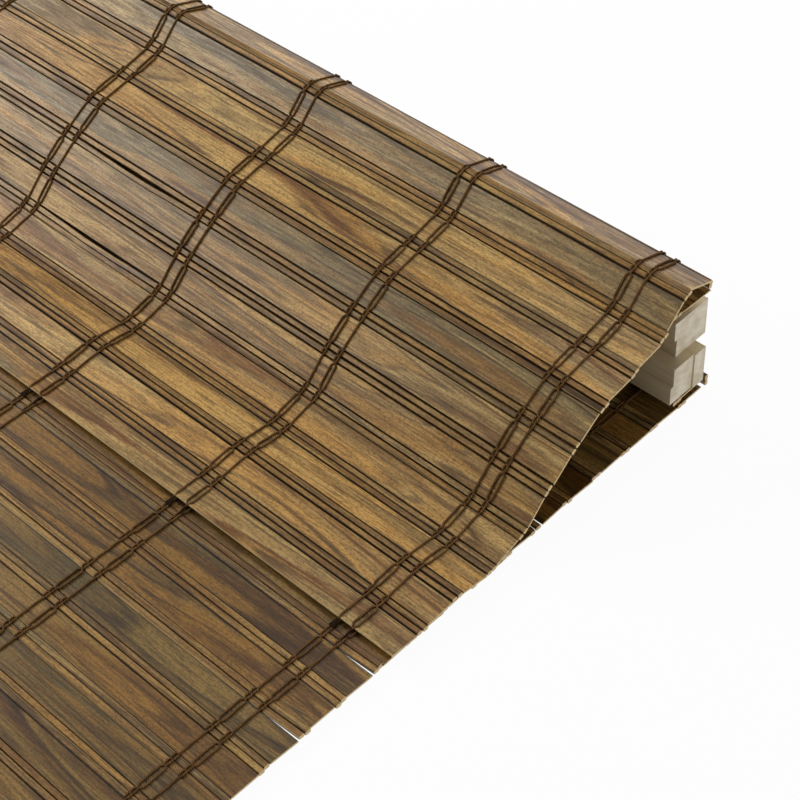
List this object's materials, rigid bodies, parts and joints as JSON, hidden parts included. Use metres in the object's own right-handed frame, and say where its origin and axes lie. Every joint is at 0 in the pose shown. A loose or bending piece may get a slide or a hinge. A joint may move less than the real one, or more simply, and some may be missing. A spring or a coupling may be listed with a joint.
{
  "type": "bamboo blind",
  "caption": "Woven wood window blind lying on its back: slats and thin sticks bound by cord warps, with a folded valance and stepped pine battens at its head.",
  "frame": {"origin": "on the surface that the blind lies on, under the middle of its outline", "axes": "+X along the slats to the blind's right end, +Y up the blind to its head, +Z out of its front"},
  "size_m": [0.6, 1.1982, 0.0661],
  "materials": {
    "woven_wood": "oiled, matte",
    "warp_cord": "twisted thread",
    "pine": "planed, bare",
    "staple_steel": "plain wire"
  },
  "bodies": {
    "root": {"panel_mat": "woven_wood", "valance_mat": "woven_wood", "headrail_batten": "pine", "valance_batten": "pine", "headrail_staples": "staple_steel", "valance_staples": "staple_steel", "panel_warp_1": "warp_cord", "panel_warp_2": "warp_cord", "panel_warp_3": "warp_cord", "panel_warp_4": "warp_cord", "panel_warp_5": "warp_cord", "panel_warp_6": "warp_cord", "panel_warp_7": "warp_cord", "valance_warp_1": "warp_cord", "valance_warp_2": "warp_cord", "valance_warp_3": "warp_cord", "valance_warp_4": "warp_cord", "valance_warp_5": "warp_cord", "valance_warp_6": "warp_cord", "valance_warp_7": "warp_cord"}
  },
  "joints": []
}
